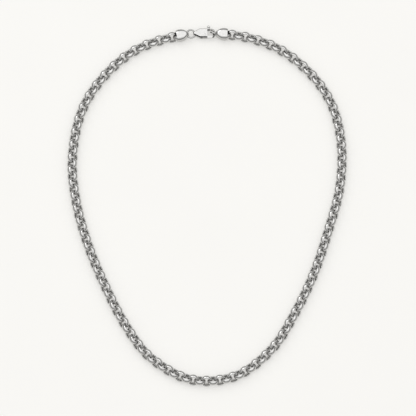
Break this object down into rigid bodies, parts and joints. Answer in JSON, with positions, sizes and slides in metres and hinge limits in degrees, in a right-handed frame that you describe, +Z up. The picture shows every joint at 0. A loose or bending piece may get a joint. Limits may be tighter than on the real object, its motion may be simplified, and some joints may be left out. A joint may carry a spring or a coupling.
{
  "type": "rolo chain necklace",
  "caption": "Closed rolo chain necklace of half-round links lying flat in a loop, with bell-shaped end caps, a jump ring and a lobster clasp whose sprung lever opens.",
  "frame": {"origin": "on the surface that the necklace lies on, below the middle of its bounding box", "axes": "+Z up from the surface, +Y from the middle of the loop towards the clasp, +X along the clasp from its tail to its claw"},
  "size_m": [0.129, 0.1707, 0.0052],
  "materials": {
    "chain_metal": "polished white metal",
    "cap_metal": "polished white metal",
    "clasp_metal": "polished white metal"
  },
  "bodies": {
    "necklace": {"chain_left": "chain_metal", "chain_right": "chain_metal", "end_cap_left": "cap_metal", "end_cap_right": "cap_metal", "jump_ring": "cap_metal", "clasp_body": "clasp_metal", "clasp_rivet": "clasp_metal"},
    "lever": {"clasp_lever": "clasp_metal"}
  },
  "joints": [
    {"name": "lever_pivot", "type": "hinge", "parent": "necklace", "child": "lever", "pos_m": [-0.001, 0.08043, 0.00195], "axis": [0, 0, 1], "range_deg": [0, 14], "stiffness_Nm_per_rad": 0.004, "springref_deg": -8.59}
  ]
}
